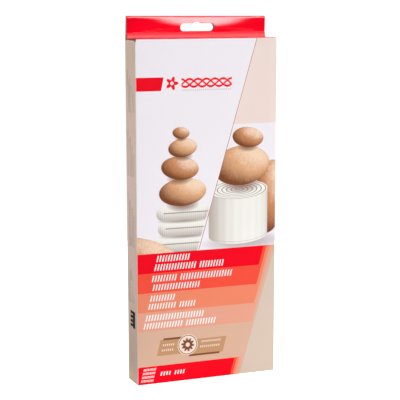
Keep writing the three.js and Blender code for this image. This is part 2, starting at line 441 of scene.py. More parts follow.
def stitch_group(u, v, top, bottom, pitch, first, count, share):
    """A mask of one group of slanted stitches. Stitches are counted from the panel's corner."""
    lean = u + v * STITCH_LEAN
    marks = (lean / pitch).part() < share
    return within(v, top, bottom) * within(lean, first * pitch, (first + count) * pitch) * marks


def stitch_rows(colour, u, v):
    """White stitches on the stripes, and four short rows of fine ones at the foot."""
    rows = []
    for top, bottom, first, groups in STITCH_ROWS:
        for count in groups:
            rows.append(stitch_group(u, v, top, bottom, STITCH_PITCH, first, count, STITCH_SHARE))
            first += count + 1
    for top in FINE_TOPS:
        row = stitch_group(u, v, top, top + FINE_HEIGHT, FINE_PITCH, FINE_FIRST, FINE_COUNT, FINE_SHARE)
        rows.append(row * 0.85)
    return (any_of(rows) * 0.94).ink(colour, STITCH_WHITE)


# %% [markdown]
# ## Plait and seal
# Two small ornaments decorate the panel. One is a red plait beside a flower: three sine
# waves, each a third of a turn behind the last, cross like the strands of a braid. The
# other is a brown ribbon with a round seal. Flower and rosette are circles whose radius
# is waved by the angle.

# %% Ornaments
PLAIT_LEFT, PLAIT_RIGHT, PLAIT_MIDDLE = 41.0, 87.5, 37.2
PLAIT_SWING, PLAIT_LENGTH, PLAIT_STROKE = 3.3, 23.25, 0.95
FLOWER_U, FLOWER_RADIUS, FLOWER_WAVE, FLOWER_HEART = 32.4, 4.4, 1.5, 1.5
PETALS, FLOWER_TURN = 5, 1.6
DOTS_TOP, DOTS_BOTTOM, DOTS_PITCH = 42.7, 43.8, 1.9
SEAL_U, SEAL_V, SEAL_RADIUS = 46.4, 266.0, 9.4
RING_FROM, RING_TO = 8.1, 8.7  # the thin ring's radii
ROSETTE_RADIUS, ROSETTE_WAVE, ROSETTE_HEART, ROSETTE_TEETH = 5.2, 1.0, 2.0, 10
# Leaning boxes: from and to along the ribbon, top and bottom.
RIBBON = [(19.4, 46, 259.4, 273.4), (46, 82, 261.6, 275.6)]
RIBBON_BACKS = [(22, 44, 258.2, 259.9), (50, 79, 275.0, 276.7)]
RIBBON_MARKS = [(22.8, 34.2, 263.4, 265.2), (22.8, 34.2, 268.0, 269.8),
                (58.9, 77.9, 263.4, 265.2), (58.9, 77.9, 268.0, 269.8)]
RIBBON_BROWN = screen(198, 152, 112)
DARK_BROWN = screen(132, 78, 54)
SEAL_PALE = screen(240, 222, 206)


def polar(u, v, centre_u, centre_v):
    """How far a point lies from a centre, and in which direction."""
    across, down = u - centre_u, v - centre_v
    return (across * across + down * down).root(), down.math("ARCTAN2", down, across)


def plait(colour, u, v):
    """A red plait and a flower with a pale heart, over a row of grey dots."""
    turn = u * (2 * math.pi / PLAIT_LENGTH)
    down = v - PLAIT_MIDDLE
    waves = [(turn + third * 2 * math.pi / 3).sine() * PLAIT_SWING for third in range(3)]
    strands = any_of([abs(down - wave) < PLAIT_STROKE for wave in waves])
    radius, angle = polar(u, v, FLOWER_U, PLAIT_MIDDLE)
    outline = FLOWER_RADIUS + (angle * PETALS + FLOWER_TURN).sine() * FLOWER_WAVE
    flower = (radius < outline) * (radius > FLOWER_HEART)
    along = within(u, PLAIT_LEFT, PLAIT_RIGHT)
    colour = (strands * along).or_else(flower).ink(colour, STRIPES[0][1])
    dots = within(v, DOTS_TOP, DOTS_BOTTOM) * along * ((u / DOTS_PITCH).part() < 0.5)
    return (dots * 0.6).ink(colour, screen(176, 168, 174))


def seal(colour, u, v):
    """A brown ribbon in two halves behind a pale seal with a rosette."""
    lean = u + (v - SEAL_V) * STITCH_LEAN

    def boxes(table):
        return any_of([within(lean, *box[:2]) * within(v, *box[2:]) for box in table])

    marks = boxes(RIBBON_MARKS) * ((lean / DOTS_PITCH).part() < 0.55)
    colour = boxes(RIBBON).ink(colour, RIBBON_BROWN)
    colour = boxes(RIBBON_BACKS).ink(colour, DARK_BROWN)
    colour = (marks * 0.75).ink(colour, screen(246, 232, 218))
    radius, angle = polar(u, v, SEAL_U, SEAL_V)
    colour = (radius < SEAL_RADIUS).ink(colour, SEAL_PALE)
    outline = ROSETTE_RADIUS + (angle * ROSETTE_TEETH).sine() * ROSETTE_WAVE
    rosette = (radius < outline) * (radius > ROSETTE_HEART)
    return within(radius, RING_FROM, RING_TO).or_else(rosette).ink(colour, DARK_BROWN)


# %% [markdown]
# ## Pictures
# The two picture fields hold a still life of sand-coloured stones and white elastic:
# folded lengths of belt and a standing roll, with stones on them. A stone is an
# ellipse. The height of a ball over it gives a slope at each point, and the slope gives
# the light, so a flat print gets a round look, and grit of two sizes makes it stone.

# %% Stones
LIGHT_RIGHT, LIGHT_UP, LIGHT_OUT = 0.5, 0.55, 0.62  # where the printed light comes from
SAND, CLAY = screen(228, 174, 130), screen(208, 142, 98)
LIT_SAND, SHADE = screen(253, 226, 200), screen(128, 72, 42)


def stone(colour, u, v, grit, centre, size, tilt, ink):
    """One stone: its centre and half width and height in mm, its tilt in degrees, its ink."""
    across, down = u - centre[0], v - centre[1]
    cos, sin = math.cos(math.radians(tilt)), math.sin(math.radians(tilt))
    along = across * (cos / size[0]) + down * (sin / size[0])
    over = down * (cos / size[1]) - across * (sin / size[1])
    far = along * along + over * over
    height = (1 - far).above_zero().root()
    right = LIGHT_RIGHT * cos - LIGHT_UP * sin
    up = LIGHT_UP * cos + LIGHT_RIGHT * sin
    light = along * right - over * up + height * LIGHT_OUT + (grit - 0.5) * 0.55
    body = light.rise(-0.3, 0.7).ink(SHADE, ink)
    body = light.rise(0.5, 1.1).ink(body, LIT_SAND)
    edge = ((1 - far) * (min(size) * 1.6)).kept()
    return edge.ink(colour, body)


def soft_shadow(colour, u, v, centre, size, depth, shade=screen(150, 128, 122)):
    """A soft patch of shade."""
    across, down = (u - centre[0]) / size[0], (v - centre[1]) / size[1]
    patch = (1 - (across * across + down * down)).kept()
    return (patch * depth).ink(colour, shade)


def stone_stack(colour, u, v, grit, stones):
    """Stones from the lowest up, each over the dark touch that it leaves on what bears it."""
    for centre, size, tilt, ink in stones:
        touch = (centre[0], centre[1] + size[1] * 0.9)
        colour = soft_shadow(colour, u, v, touch, (size[0] * 0.72, size[1] * 0.55), 0.85, SHADE)
        colour = stone(colour, u, v, grit, centre, size, tilt, ink)
    return colour


# %% [markdown]
# ## Elastic in print
# The belt's elastic has fine ribs along its height. On the standing roll the ribs
# crowd towards the sides, as they do on any cylinder: the arcsine of the place across
# turns even ribs into that crowding, and a spiral on its top shows the turns. A folded
# length is a bar with round ends, parted by the line between its two layers.

# %% Printed elastic
ELASTIC, ELASTIC_DIM, ELASTIC_DARK = screen(247, 244, 239), screen(190, 180, 170), screen(140, 124, 112)


def elastic_roll(colour, u, v, centre_u, radius, top, bottom):
    """A standing roll: ribbed side, and a top where the turns of the belt show."""
    across = (u - centre_u) / radius
    bulge = (1 - across * across).above_zero().root()
    flat = radius * 0.3
    side = (abs(across) < 1) * (v > top) * (v < bottom + bulge * flat)
    ribs = (across.math("ARCSINE", across) * 21).sine() * 0.5 + 0.5
    light = (across * 0.32 + bulge * 0.8) * (1 - ribs * 0.14)
    colour = side.ink(colour, light.rise(-0.1, 0.9).ink(ELASTIC_DIM, ELASTIC))
    hem = within(v - bulge * flat, bottom - 2.2, bottom - 1.6) * side
    colour = (hem * 0.5).ink(colour, ELASTIC_DIM)
    far, angle = polar(across, (v - top) / flat, 0, 0)
    turns = (far * 6.5 - angle / (2 * math.pi)).part() < 0.24
    end = (turns * 0.8).ink(ELASTIC, ELASTIC_DARK)
    return (far < 1).ink(colour, end)


def folded_belt(colour, u, v, centre, half_length, half_height):
    """A folded length of belt from the side, with its fold on the left."""
    across, down = u - centre[0], (v - centre[1]) / half_height
    end = (abs(across) - (half_length - half_height)).above_zero() / half_height
    far = end * end + down * down
    ribs = (u * (2 * math.pi / 1.9)).sine() * 0.5 + 0.5
    light = 0.66 - down * 0.36 - end * 0.2 - ribs * 0.12
    body = light.rise(0.1, 0.8).ink(ELASTIC_DIM, ELASTIC)
    layers = (abs(down) < 0.08) * (across > half_height - half_length)
    body = (layers * 0.7).ink(body, ELASTIC_DARK)
    edge = ((1 - far) * (half_height * 1.4)).kept()
    return edge.ink(colour, body)


# %% [markdown]
# ## Composing the pictures
# Things further back are painted first. The left field has a stack of stones on three
# folded lengths of belt, with a large stone in front. The right one has two stones on
# a roll of belt, and one behind it. Tables hold the places, and loops paint them.

# %% Still life
FOLDED_BELTS = [  # centre, half length, half height
    ((43, 175.4), 28, 7.0), ((45, 161.8), 26, 6.9), ((42.5, 148.4), 25, 6.8),
]
LEFT_STONES = [  # centre, half sizes, tilt, ink
    ((42, 130.5), (22, 12.2), -3, SAND),
    ((39.5, 109.8), (17.5, 10.2), 6, CLAY),
    ((42, 92.3), (13.5, 8.2), -6, SAND),
    ((40.5, 79.6), (8, 5.2), 5, CLAY),
]
FRONT_STONE = ((3, 186), (38, 17.5), 14, CLAY)
BACK_STONE = ((124, 139), (15, 33), 6, CLAY)
RIGHT_STONES = [
    ((97, 110), (27, 17.5), -5, SAND),
    ((103, 85.6), (15, 9.0), 7, CLAY),
]
ROLL = (94, 28, 131, 171)  # middle, radius, top and bottom


def still_life(colour, place, u, v, beyond):
    """Both pictures, each kept to its own side of the slanted line."""
    grit = grain(place, 2.2, 4) * 0.6 + grain(place, 8, 2) * 0.4
    left = soft_shadow(colour, u, v, (44, 181), (42, 7), 0.6)
    for centre, half_length, half_height in FOLDED_BELTS:
        foot = (centre[0], centre[1] + half_height)
        left = soft_shadow(left, u, v, foot, (half_length, 2.6), 0.8, ELASTIC_DARK)
        left = folded_belt(left, u, v, centre, half_length, half_height)
    left = stone_stack(left, u, v, grit, LEFT_STONES)
    left = stone(left, u, v, grit, *FRONT_STONE)
    right = soft_shadow(colour, u, v, (100, 178), (42, 9), 0.6)
    right = stone(right, u, v, grit, *BACK_STONE)
    right = elastic_roll(right, u, v, *ROLL)
    right = stone_stack(right, u, v, grit, RIGHT_STONES)
    inside = within(v, FIELD_END, PICTURE_END)
    colour = (inside * (beyond < 0)).ink(colour, left)
    return (inside * (beyond > 0)).ink(colour, right)


# %% [markdown]
# ## The front finish
# Now the layers go together in the order of a press: fields, pictures, line, bar,
# stripes, stitches and ornaments. The board is varnished only lightly, so its gloss is
# low. At the upright creases the ink is stretched and cracks, and a pale line is painted
# all along them as a painted highlight.

# %% Front print
CREASE_SHOW = 0.75  # width of the pale line at an upright crease: cracked ink and painted highlight


def crease_wear_and_highlight(colour, place, x):
    """Pale ink along the upright creases: cracked ink in noisy specks over a painted highlight that runs
    all along them.
    """
    near = abs(x).rise(HALF_WIDTH - CREASE_SHOW, HALF_WIDTH - 0.1)
    # Painted highlight: 0.45 of the pale line is there all along the crease, and the noise adds cracked
    # ink.
    cracked_ink_and_highlight = grain(place, 0.9, 3).rise(0.3, 0.6) * 0.4 + 0.45
    return (near * cracked_ink_and_highlight).ink(colour, screen(255, 244, 232))


def front_finish():
    material, place, (x, y, z) = start_finish("front_print")
    u, v = x + HALF_WIDTH, TOP - z
    colour, beyond = fields(u, v)
    colour = still_life(colour, place, u, v, beyond)
    colour = slanted_line(colour, beyond, v)
    colour = side_bar(colour, u, v)
    colour = stripes(colour, u, v)
    colour = stitch_rows(colour, u, v)
    colour = plait(colour, u, v)
    colour = seal(colour, u, v)
    colour = crease_wear_and_highlight(colour, place, x)
    mottle = grain(place, 12, 3)
    return end_finish(material, place, colour, 0.42 + mottle * 0.1, relief(place, 0.004, 0.1),
                      Specular_IOR_Level=0.05)


front_print = front_finish()

# %% [markdown]
# ## Side and back print
# The side panels are beige, darkened by painted shade towards their top and their foot,
# with a painted highlight along their creases. The left one carries four blocks of fine
# grey rows that run up the panel, and one dark block with pale bars. Rows near the back
# edge start sooner, each at its own place, and break at random, which noise stretched
# along them gives. The back is plain beige, with the same pale lines at its creases.

# %% Side and back print
SIDE_BEIGE = screen(236, 208, 194)
SIDE_MOTTLE_AND_SHADE = screen(214, 188, 168)  # the random clouds, and the painted shade at the top and foot
FINE_GREY = screen(122, 102, 94)
BLOCK_INK = screen(58, 44, 42)
SIDE_BLOCKS = [(22, 62), (73, 117), (126, 178), (188, 227)]  # from and to, mm down
ROW_PITCH, ROW_SHARE = 2.25, 0.5
ROWS_FROM, ROWS_TO = 3.0, 21.0  # mm from the back edge
ROW_DELAY, ROW_JITTER = 1.0, 9.0  # how much later a row starts per mm from the back edge, and at random
BLOCK_TOP, BLOCK_BOTTOM, BLOCK_NEAR, BLOCK_FAR = 234.4, 249.4, 8.0, 20.0
BAR_PITCH, BAR_REACH = 3.75, 6.0  # the pale bars in the dark block
TOP_SHADE, FOOT_SHADE = (0, 130), (210, 290)  # where the painted shade fades out from the top, and comes back at the foot


def end_beige(material, place, colour, cloud):
    """What the beige panels share: their light varnish and their relief."""
    return end_finish(material, place, colour, 0.45 + cloud * 0.1, relief(place, 0.004, 0.1),
                      Specular_IOR_Level=0.12)


def side_finish():
    material, place, (x, y, z) = start_finish("side_print")
    from_back, v = BACK_Y - y, TOP - z
    cloud = grain(place, 18)
    # Painted shade: the side panel is darker towards its top and towards its foot.
    painted_shade = (1 - v.rise(*TOP_SHADE)) * 0.8 + v.rise(*FOOT_SHADE) * 0.9
    colour = painted_shade.or_else(cloud * 0.12).ink(SIDE_BEIGE, SIDE_MOTTLE_AND_SHADE)
    rows = within(from_back, ROWS_FROM, ROWS_TO) * ((from_back / ROW_PITCH).part() < ROW_SHARE)
    row_number = (from_back / ROW_PITCH).math("FLOOR", from_back / ROW_PITCH)
    jitter = (row_number * 0.618).part() * ROW_JITTER
    started = v - from_back * ROW_DELAY - jitter
    delayed = started + ROWS_FROM * ROW_DELAY
    blocks = any_of([(delayed > block[0]) * within(v, *block) for block in SIDE_BLOCKS])
    stretched = place.node("ShaderNodeMapping", None, {"Vector": place, "Scale": (0.0, 0.9, 0.1)})
    length = grain(stretched, 3.2, 0) > 0.42
    marks = (v / FINE_PITCH).part() < FINE_SHARE
    left_only = x < 0
    strength = 0.9 - from_back * 0.018
    colour = (rows * blocks * length * marks * left_only * strength).ink(colour, FINE_GREY)
    block = within(v, BLOCK_TOP, BLOCK_BOTTOM) * within(from_back, BLOCK_NEAR, BLOCK_FAR)
    bars = ((v - BLOCK_TOP) / BAR_PITCH).part() > 0.72
    notch = bars * (from_back < BLOCK_NEAR + BAR_REACH)
    colour = (block * (1 - notch) * left_only).ink(colour, BLOCK_INK)
    # Painted highlight: a pale line along the side panel's upright creases.
    half_depth = (BACK_Y - FRONT_Y) / 2
    crease_highlight = abs(y - (FRONT_Y + BACK_Y) / 2).rise(half_depth - CREASE_SHOW, half_depth)
    colour = (crease_highlight * 0.7).ink(colour, screen(255, 244, 234))
    return end_beige(material, place, colour, cloud)


def back_finish():
    material, place, (x, y, z) = start_finish("back_print")
    cloud = grain(place, 18)
    colour = (cloud * 0.12).ink(SIDE_BEIGE, screen(226, 200, 184))
    colour = crease_wear_and_highlight(colour, place, x)
    return end_beige(material, place, colour, cloud)


side_print = side_finish()
back_print = back_finish()

# %% [markdown]
# ## Folded board
# Every panel is the same thing, a sheet of one thickness bent along straight creases.
# So one drawing tool is enough: it walks along the printed face seen in section, like
# a turtle, in straight runs and round bends, with the print on its right. Complex
# numbers make each bend one multiplication.

# %% Fold line
class FoldLine:
    """The printed face of a bent board in section, with the print on the right."""

    def __init__(self, start, heading):
        self.at = complex(*start)
        self.heading = math.radians(heading)
        self.points = [self.at]

    def straight(self, length, step=5.0):
        count = max(1, math.ceil(length / step))
        stride = cmath.rect(length / count, self.heading)
        for _ in range(count):
            self.at += stride
            self.points.append(self.at)
        return self

    def bend(self, degrees, radius, steps=8):
        """Turns left for positive degrees, round a centre at radius from the printed face."""
        turn = math.radians(degrees)
        centre = self.at + cmath.rect(radius, self.heading + math.copysign(math.pi / 2, turn))
        spoke = self.at - centre
        for step in range(1, steps + 1):
            self.points.append(centre + spoke * cmath.rect(1, turn * step / steps))
        self.at = self.points[-1]
        self.heading += turn
        return self


PLAN = (0, 1, 2)  # a section in x and y, run out along z
PROFILE = (1, 2, 0)  # a section in y and z, run out along x
ELEVATION = (0, 2, 1)  # a section in x and z, run out along y


def face_grid(line, plane, low, high, shares):
    """The printed face's points: one row for each point of the fold line, run out from low to high."""
    section = np.array([[p.real, p.imag] for p in line.points])
    rows = len(section)
    low, high = np.broadcast_to(low, rows), np.broadcast_to(high, rows)
    grid = np.empty((rows, len(shares), 3))
    first, second, run = plane
    grid[..., first] = section[:, :1]
    grid[..., second] = section[:, 1:]
    grid[..., run] = low[:, None] + (high - low)[:, None] * shares
    return grid


# %% [markdown]
# ## From a face to a board
# The printed face is a grid of points. The back face lies one board's thickness
# behind it, along the grid's own normals, and four rims of raw edge close the sheet.
# A Solidify modifier could do this too, but here each face gets its finish as it is
# made, and the rims meet the neighbouring pieces exactly.

# %% Board piece
def grid_normals(grid):
    """Unit normals of the printed face."""
    normal = np.cross(np.gradient(grid, axis=0), np.gradient(grid, axis=1))
    return normal / np.linalg.norm(normal, axis=-1, keepdims=True)


def board_quads(rows, columns):
    """Quads of the printed face, the back face and the rims, as three lists."""
    back = rows * columns

    def at(r, c):
        return r * columns + c

    face = [(at(r, c), at(r + 1, c), at(r + 1, c + 1), at(r, c + 1))
            for r in range(rows - 1) for c in range(columns - 1)]
    behind = [tuple(back + corner for corner in reversed(quad)) for quad in face]
    last_r, last_c = rows - 1, columns - 1
    edges = [(at(0, c), at(0, c + 1)) for c in range(last_c)]
    edges += [(at(last_r, c + 1), at(last_r, c)) for c in range(last_c)]
    edges += [(at(r + 1, 0), at(r, 0)) for r in range(last_r)]
    edges += [(at(r, last_c), at(r + 1, last_c)) for r in range(last_r)]
    rims = [(a, b, back + b, back + a) for a, b in edges]
    return face, behind, rims


def board_piece(name, grid, prints, row_print=None):
    """A sheet of board from its printed face. row_print gives each row's place in prints."""
    rim = red_cut_edge_and_shade if prints[0] == red_board else cut_edge
    rows, columns = grid.shape[:2]
    behind = grid - grid_normals(grid) * BOARD
    points = np.concatenate([grid.reshape(-1, 3), behind.reshape(-1, 3)]) * MM
    face, back, rims = board_quads(rows, columns)
    mesh = bpy.data.meshes.new(name)
    mesh.from_pydata(points.tolist(), [], face + back + rims)
    for material in [*prints, board_inside, rim]:
        mesh.materials.append(material)
    face_prints = np.zeros(rows - 1, int) if row_print is None else np.asarray(row_print)
    marks = np.concatenate([
        np.repeat(face_prints, columns - 1),
        np.full(len(back), len(prints)),
        np.full(len(rims), len(prints) + 1),
    ])
    mesh.polygons.foreach_set("material_index", marks.astype(np.int32))
    mesh.shade_smooth()
    mesh.set_sharp_from_angle(angle=math.radians(35))
    mesh.validate()
    piece = bpy.data.objects.new(name, mesh)
    bpy.context.scene.collection.objects.link(piece)
    print(f"{name}: {len(mesh.polygons)} faces")
    return piece


def even_shares(length, step):
    return np.linspace(0, 1, max(2, round(length / step) + 1))


# %% [markdown]
# ## Sleeve
# The body is one strip: back panel, left side, front, right side and a seam strip
# that is glued inside the back panel. It is drawn in plan from the back panel's raw
# edge round to the seam strip's, so the raw edge shows at the rear right corner. The
# side panels end lower, where their dust flaps fold in, and the panels bow a little.

# %% Sleeve
CREASE = 0.8  # outside radius of an upright crease
SEAM_WIDTH, SEAM_END, SEAM_TAPER = 12.0, 6.0, 3.0
RAW_EDGE = 0.35  # the back panel's raw edge stops this short of the corner
PANEL_BOW = 0.22
BACK_AT_FOOT, BACK_AT_TOP = -1.2, 1.6  # how far the back panel stands off its place, in mm
FOOT_ROLL = 0.5  # the board turns in a little at the foot
CREASE_DROP = 1.35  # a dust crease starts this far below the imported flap's upper face
SIDE_TOP = DUST_HIGH[2] - CREASE_DROP


def sleeve_line():
    """The strip in plan, and which panel each of its rows belongs to."""
    line = FoldLine((HALF_WIDTH - RAW_EDGE, BACK_Y), 180)
    panels = []

    def mark(panel):
        panels.extend([panel] * (len(line.points) - len(panels)))

    line.straight(2 * HALF_WIDTH - RAW_EDGE - CREASE)
    mark("back")
    line.bend(90, CREASE)
    line.straight(BACK_Y - FRONT_Y - 2 * CREASE, 4)
    mark("left")
    line.bend(90, CREASE)
    line.straight(2 * (HALF_WIDTH - CREASE))
    line.bend(90, CREASE)
    mark("front")
    line.straight(BACK_Y - FRONT_Y - 2 * CREASE - BOARD, 4)
    line.bend(90, CREASE)
    mark("right")
    line.straight(SEAM_WIDTH - CREASE, 4)
    mark("seam")
    return line, np.array(panels)


def sleeve_grid():
    line, panels = sleeve_line()
    foot = np.array([0, 0.05, 0.15, 0.3, 0.5]) / TOP
    shares = np.concatenate([foot, np.linspace(foot[-1], 1, 64)[1:]])
    high = np.full(len(panels), TOP)
    low = np.zeros(len(panels))
    on_side = np.array([abs(p.real) > HALF_WIDTH - CREASE / 2 for p in line.points])
    high[on_side] = SIDE_TOP
    seam = panels == "seam"
    run = np.abs(np.array([p.real for p in line.points]) - HALF_WIDTH) / SEAM_WIDTH
    high[seam] = TOP - SEAM_END - SEAM_TAPER * run[seam]
    low[seam] = SEAM_END + SEAM_TAPER * run[seam]
    return face_grid(line, PLAN, low, high, shares), panels


def bowed(grid, panels):
    """Lets the front panel bow out a little and the foot roll in."""
    normal = grid_normals(grid)
    height = grid[..., 2] / TOP
    middle = np.cos(np.clip(grid[..., 0] / HALF_WIDTH, -1, 1) * math.pi / 2)
    bow = PANEL_BOW * middle * np.sin(np.pi * np.clip(height, 0, 1)) * (panels == "front")[:, None]
    z = np.clip(grid[..., 2], 0, FOOT_ROLL)
    roll = FOOT_ROLL - np.sqrt(FOOT_ROLL**2 - (FOOT_ROLL - z) ** 2)
    roll = roll * 0.6 * (panels != "seam")[:, None]
    return spread(grid + normal * (bow - roll)[..., None])


def spread(grid):
    """A packed carton is a little deeper at its top than at its foot."""
    shaped = grid.copy()
    share = np.clip((grid[..., 1] - FRONT_Y) / (BACK_Y - FRONT_Y), 0, 1)
    shaped[..., 1] += share * (BACK_AT_FOOT + (BACK_AT_TOP - BACK_AT_FOOT) * grid[..., 2] / TOP)
    return shaped


def make_sleeve():
    grid, panels = sleeve_grid()
    grid = bowed(grid, panels)
    prints = [front_print, side_print, back_print, board_inside]
    order = {"front": 0, "left": 1, "right": 1, "back": 2, "seam": 3}
    rows = [order[panel] for panel in panels[1:]]
    piece = board_piece("wrapped_sleeve", grid, prints, rows)
    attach(piece, "carton")
    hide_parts("sleeve")


make_sleeve()

# %% [markdown]
# ## Hang tab
# The back panel's sheet goes on upwards, leans forward, folds over at the top and
# comes down in front as a second layer, whose foot flares out to the lid's crease.
# The front layer is free between its two ends and bellies out over the slot. What
# shows on varnish is which way it looks, so the belly is given as a tilt at each
# height, and adding up the tilts gives how far forward the layer stands.

# %% Hang tab
TAB_ROOT = 0.4
TAB_LEAN, LEAN_RADIUS = 4.0, 1.75
FOLD_TURN, FOLD_RADIUS = 178.0, 1.25
FRONT_FROM = 6  # the row of the top fold where the front layer starts
FOOT_FLARE, FLARE_RADIUS = 20.0, 0.8
FOOT_STOP = 0.75  # the foot ends this far before the lid's hinge
BELLY_AT, BELLY_WIDTH = 3.0, 36.0
BELLY = [(7.5, 0), (10.5, 5), (14, 10.5), (18.5, 12.5)]  # height over the lid, tilt in degrees
CURL = [(15.5, 0), (18.5, 3)]  # the same, for the whole width
RETURN = [(4.5, 0), (6, 1), (7.5, 1), (9, 0)]  # where the layer comes back, and how strongly
TAB_SKEW = 0.7  # the top fold isn't quite level: its left end is this much higher


def tab_line():
    """The tab in profile, and the row where its front layer starts."""
    line = FoldLine((BACK_Y + BACK_AT_TOP, TOP), 90).straight(TAB_ROOT).bend(TAB_LEAN, LEAN_RADIUS, 4)
    lean = math.radians(TAB_LEAN)
    rise = TAB_HIGH[2] - FOLD_RADIUS * (1 - math.sin(lean)) - line.at.imag
    line.straight(rise / math.cos(lean), 1.0)
    front_row = len(line.points) + FRONT_FROM
    line.bend(FOLD_TURN, FOLD_RADIUS, 14)
    forward = cmath.rect(1, line.heading - math.radians(FOOT_FLARE))
    outward = forward * cmath.rect(1, -math.pi / 2)
    hinge = complex(LID_HINGE[1], LID_HINGE[2])
    foot = hinge - forward * FOOT_STOP + outward * BOARD / 2
    trial = FoldLine((0, 0), math.degrees(line.heading)).bend(-FOOT_FLARE, FLARE_RADIUS)
    step = foot - line.at - trial.at
    down = cmath.rect(1, line.heading)
    headings = [[down.real, forward.real], [down.imag, forward.imag]]
    run_down, run_out = np.linalg.solve(headings, [step.real, step.imag])
    print("front layer runs down", run_down.round(1), "mm and out", run_out.round(1), "mm")
    line.straight(run_down, 0.5).bend(-FOOT_FLARE, FLARE_RADIUS, 8).straight(run_out, 0.5)
    return line, front_row


def forward_step(height, tilts):
    """How far forward the layer stands at each height, from its tilts."""
    fine = np.linspace(0, TAB_HIGH[2] - TOP, 400)
    slope = np.tan(np.radians(np.interp(fine, *np.array(tilts).T)))
    back = np.interp(fine, *np.array(RETURN).T)
    slope = slope - back * slope.sum() / back.sum()
    step = np.cumsum(slope[::-1])[::-1] * (fine[1] - fine[0])
    return np.interp(height, fine, step)


def bellied(grid, front_row):
    """Raises the fold's left end, and moves the front layer forward, most near its middle."""
    shaped = grid.copy()
    rise = np.clip((grid[..., 2] - TOP) / (TAB_HIGH[2] - TOP), 0, 1)
    shaped[..., 2] += TAB_SKEW * rise * (0.5 - grid[..., 0] / (2 * HALF_WIDTH))
    front = shaped[front_row:]
    height = front[..., 2] - TOP
    across = np.exp(-(((front[..., 0] - BELLY_AT) / BELLY_WIDTH) ** 2))
    front[..., 1] -= forward_step(height, BELLY) * across + forward_step(height, CURL)
    return shaped


tab_section, front_row = tab_line()
tab_grid = face_grid(tab_section, PROFILE, TAB_LOW[0], TAB_HIGH[0], even_shares(2 * HALF_WIDTH, 1.6))
tab_grid = bellied(tab_grid, front_row)
hang_tab = board_piece("folded_hang_tab", tab_grid, [red_board])
print("tab rises to", round(float(tab_grid[..., 2].max()), 2), "mm")

# %% [markdown]
# ## Hang slot
# The slot was punched through both layers at once: a long hole with round ends and a
# low arch over its middle, where the hook sits. A punch in Blender is a Boolean with a
# closed cutter. The cutter's faces carry the raw-edge finish, which the cut takes over.

# %% Hang slot
SLOT_WIDTH, SLOT_HEIGHT, SLOT_RISE = 32.0, 6.7, 5.7
ARCH_WIDTH, ARCH_HEIGHT = 9.0, 1.3


def arc(centre, radius, start, end, steps):
    """Points of an arc between two directions in degrees."""
    turns = np.radians(np.linspace(start, end, steps + 1))
    return [centre + cmath.rect(radius, turn) for turn in turns]


def slot_outline():
    """The slot in x and z, counter-clockwise."""
    radius = SLOT_HEIGHT / 2
    middle, top = TOP + SLOT_RISE + radius, TOP + SLOT_RISE + SLOT_HEIGHT
    reach = SLOT_WIDTH / 2 - radius
    arch_radius = ((ARCH_WIDTH / 2) ** 2 + ARCH_HEIGHT**2) / (2 * ARCH_HEIGHT)
    half_angle = math.degrees(math.asin(ARCH_WIDTH / 2 / arch_radius))
    arch_centre = complex(0, top + ARCH_HEIGHT - arch_radius)
    outline = arc(complex(reach, middle), radius, -90, 90, 24)
    outline += arc(arch_centre, arch_radius, 90 - half_angle, 90 + half_angle, 16)
    return outline + arc(complex(-reach, middle), radius, 90, 270, 24)


def punch(piece, outline, near_y, far_y, edge_index):
    """Cuts the outline through a piece and leaves raw edge on the cut."""
    count = len(outline)
    points = [(p.real * MM, y * MM, p.imag * MM) for y in (near_y, far_y) for p in outline]
    walls = [(k, k + count, (k + 1) % count + count, (k + 1) % count) for k in range(count)]
    caps = [tuple(range(count)), tuple(range(2 * count - 1, count - 1, -1))]
    mesh = bpy.data.meshes.new("punch")
    mesh.from_pydata(points, [], walls + caps)
    for material in piece.data.materials:
        mesh.materials.append(material)
    mesh.polygons.foreach_set("material_index", np.full(len(mesh.polygons), edge_index, np.int32))
    cutter = bpy.data.objects.new("punch", mesh)
    bpy.context.scene.collection.objects.link(cutter)
    cut = piece.modifiers.new("punch", "BOOLEAN")
    cut.operation, cut.solver, cut.object = "DIFFERENCE", "EXACT", cutter
    shown = piece.evaluated_get(bpy.context.evaluated_depsgraph_get())
    done = bpy.data.meshes.new_from_object(shown)
    piece.modifiers.clear()
    piece.data = done
    bpy.data.objects.remove(cutter)
    done.shade_smooth()
    done.set_sharp_from_angle(angle=math.radians(35))
    print(f"{piece.name}: {len(done.polygons)} faces after the punch")


punch(hang_tab, slot_outline(), FRONT_Y, BACK_Y + 5, 2)
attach(hang_tab, "carton")
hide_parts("hang_tab")

# %% [markdown]
# ## Lid, tuck flap and their creases
# The lid starts at the crease at the tab's foot and ends at the crease over the front
# panel, where the tuck flap goes down inside. A crease is a short bent strip of its
# own, which belongs to the board on both of its sides.

# %% Lid and tuck flap
LID_FOLD = 0.6  # printed face's radius at the tab's foot
LID_MARGIN = 0.15
TUCK_FOLD = 0.75
TUCK_CORNER = 5.0
LID_BOW = 0.12
LID_PROUD = 0.45  # the lid's front crease springs up this far over the front panel's edge


def foot_crease_line():
    """From the tab's foot round to the lid's upper face."""
    foot = tab_section.points[-1]
    heading = math.degrees(tab_section.heading)
    turn = heading - 180
    run = (foot.imag - LID_HIGH[2]) / math.sin(math.radians(turn))
    tangent = LID_FOLD * math.tan(math.radians(turn / 2))
    line = FoldLine((foot.real, foot.imag), heading)
    return line.straight(run - tangent, 0.2).bend(-turn, LID_FOLD, 8).straight(LID_MARGIN, 0.1)


def tuck_crease_line():
    """From the lid's front edge over and down to the tuck flap."""
    line = FoldLine((TUCK_LOW[1] + TUCK_FOLD + LID_MARGIN, LID_HIGH[2] + LID_PROUD), 180)
    return line.straight(LID_MARGIN, 0.1).bend(90, TUCK_FOLD, 10).straight(LID_MARGIN, 0.1)


foot_crease, tuck_crease = foot_crease_line(), tuck_crease_line()
LID_SHARES = even_shares(2 * LID_HIGH[0], 4)


